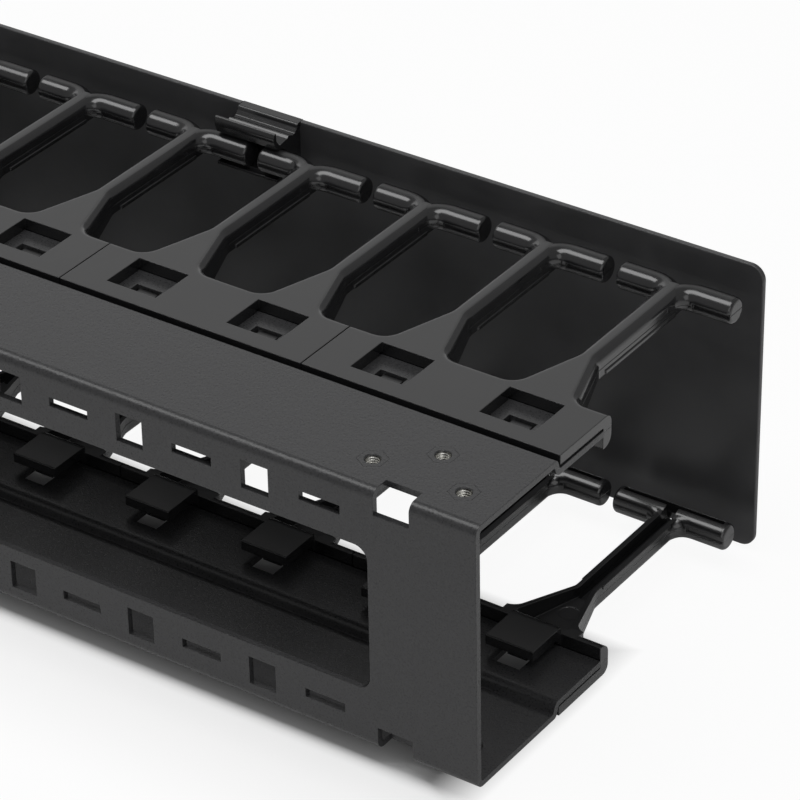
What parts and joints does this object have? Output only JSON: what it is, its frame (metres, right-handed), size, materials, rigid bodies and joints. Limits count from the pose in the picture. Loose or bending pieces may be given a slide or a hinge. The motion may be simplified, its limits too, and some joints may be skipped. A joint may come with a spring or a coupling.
{
  "type": "vertical cable manager",
  "caption": "Long folded steel channel with rows of plastic T-ended cable fingers along both lips and a flat hinged cover.",
  "frame": {"origin": "centre of the whole part's bounding box, cover closed", "axes": "+X along the length, +Y from the mounting face to the cover, +Z from one row of fingers to the other, up as it lies in the picture"},
  "size_m": [0.978, 0.1556, 0.1028],
  "materials": {
    "chassis": "fine-texture powder coat",
    "fingers": "moulded, fine satin",
    "cover": "smooth satin",
    "clips": "moulded, satin",
    "nuts": "bright zinc"
  },
  "bodies": {
    "channel": {"chassis": "chassis", "clinch_nuts": "nuts", "finger_segment_top_01": "fingers", "finger_segment_top_02": "fingers", "finger_segment_top_03": "fingers", "finger_segment_top_04": "fingers", "finger_segment_top_05": "fingers", "finger_segment_top_06": "fingers", "finger_segment_top_07": "fingers", "finger_segment_top_08": "fingers", "finger_segment_top_09": "fingers", "finger_segment_top_10": "fingers", "finger_segment_top_11": "fingers", "finger_segment_bottom_01": "fingers", "finger_segment_bottom_02": "fingers", "finger_segment_bottom_03": "fingers", "finger_segment_bottom_04": "fingers", "finger_segment_bottom_05": "fingers", "finger_segment_bottom_06": "fingers", "finger_segment_bottom_07": "fingers", "finger_segment_bottom_08": "fingers", "finger_segment_bottom_09": "fingers", "finger_segment_bottom_10": "fingers", "finger_segment_bottom_11": "fingers"},
    "door": {"cover": "cover", "hinge_clip_top_1": "clips", "hinge_clip_top_2": "clips", "hinge_clip_top_3": "clips", "hinge_clip_bottom_1": "clips", "hinge_clip_bottom_2": "clips", "hinge_clip_bottom_3": "clips"}
  },
  "joints": [
    {"name": "cover_hinge", "type": "hinge", "parent": "channel", "child": "door", "pos_m": [0, 0.06465, 0.04035], "axis": [1, 0, 0], "range_deg": [0, 110]}
  ]
}
